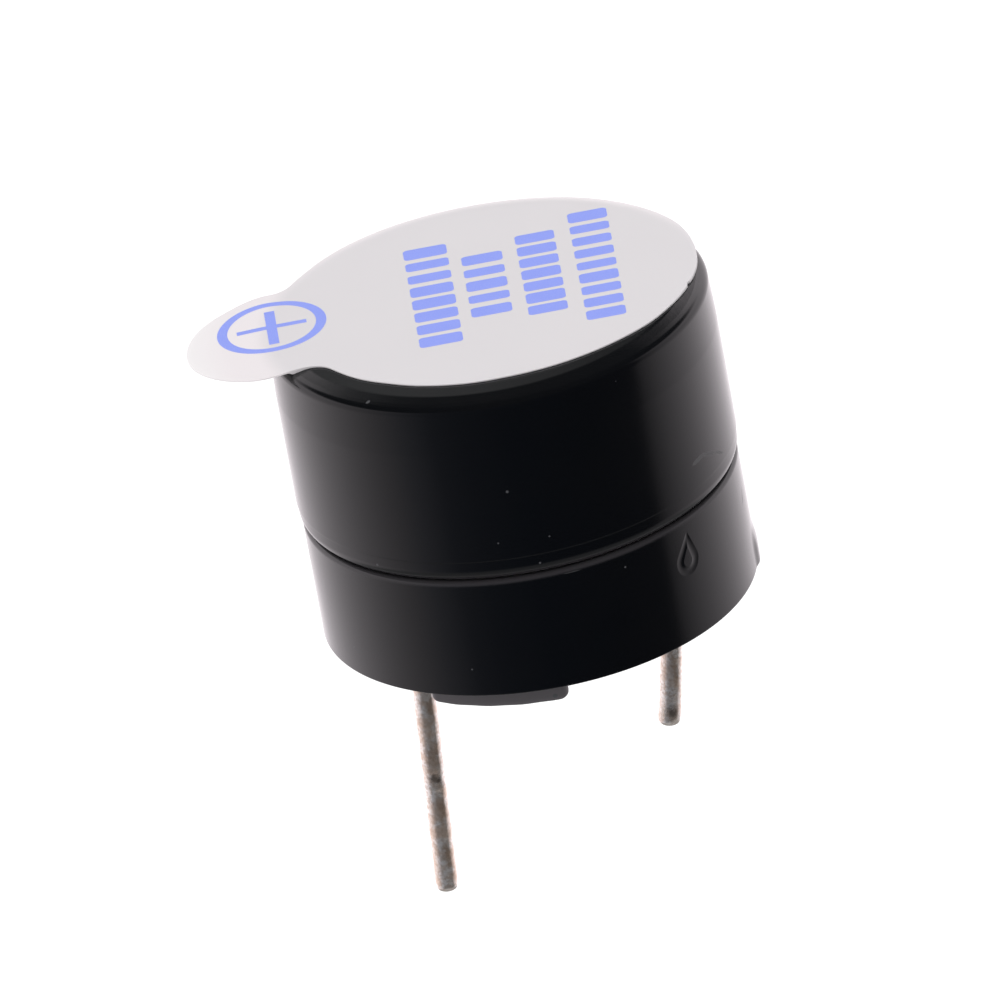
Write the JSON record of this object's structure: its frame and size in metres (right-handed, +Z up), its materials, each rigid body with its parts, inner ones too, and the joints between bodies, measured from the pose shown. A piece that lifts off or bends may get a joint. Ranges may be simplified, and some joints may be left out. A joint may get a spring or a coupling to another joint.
{
  "type": "magnetic buzzer",
  "caption": "Round through-hole magnetic buzzer with a two-part black case, two bent pins and a white wash seal with a pull tab over its sound hole.",
  "frame": {"origin": "on the axis of the case, in the plane of the stand-off feet, where the buzzer sits on its circuit board", "axes": "+Z up along the case axis, out of the sealed top; +X along the line of the two pins, from the positive pin to the negative pin"},
  "size_m": [0.0138, 0.0125, 0.0165],
  "materials": {
    "case_plastic": "satin black moulded plastic",
    "seal_film": "white film with blue print",
    "spring_steel": "rolled",
    "plated_iron": "zinc plated",
    "ring_aluminium": "turned",
    "magnet_ferrite": "ground ferrite",
    "bobbin_plastic": "natural moulded plastic",
    "copper_wire": "enamelled copper",
    "board_laminate": "paper laminate",
    "chip_plastic": "moulded",
    "chip_ceramic": "glazed top",
    "tinned_metal": "dull tinned, blotched",
    "solder": "bright solder",
    "potting_resin": "cast resin"
  },
  "bodies": {
    "root": {"upper_case": "case_plastic", "lower_case": "case_plastic", "seal_label": "seal_film", "diaphragm": "spring_steel", "diaphragm_weight": "plated_iron", "support_ring": "ring_aluminium", "magnet_ring": "magnet_ferrite", "yoke_plate": "plated_iron", "pole_core": "plated_iron", "coil_bobbin": "bobbin_plastic", "drive_coil": "copper_wire", "feedback_coil": "copper_wire", "coil_leads": "copper_wire", "circuit_board": "board_laminate", "transistor_body": "chip_plastic", "transistor_leads": "tinned_metal", "resistor_body": "chip_ceramic", "resistor_terminals": "tinned_metal", "positive_pin": "tinned_metal", "negative_pin": "tinned_metal", "solder_joints": "solder", "potting_seal": "potting_resin"}
  },
  "joints": []
}
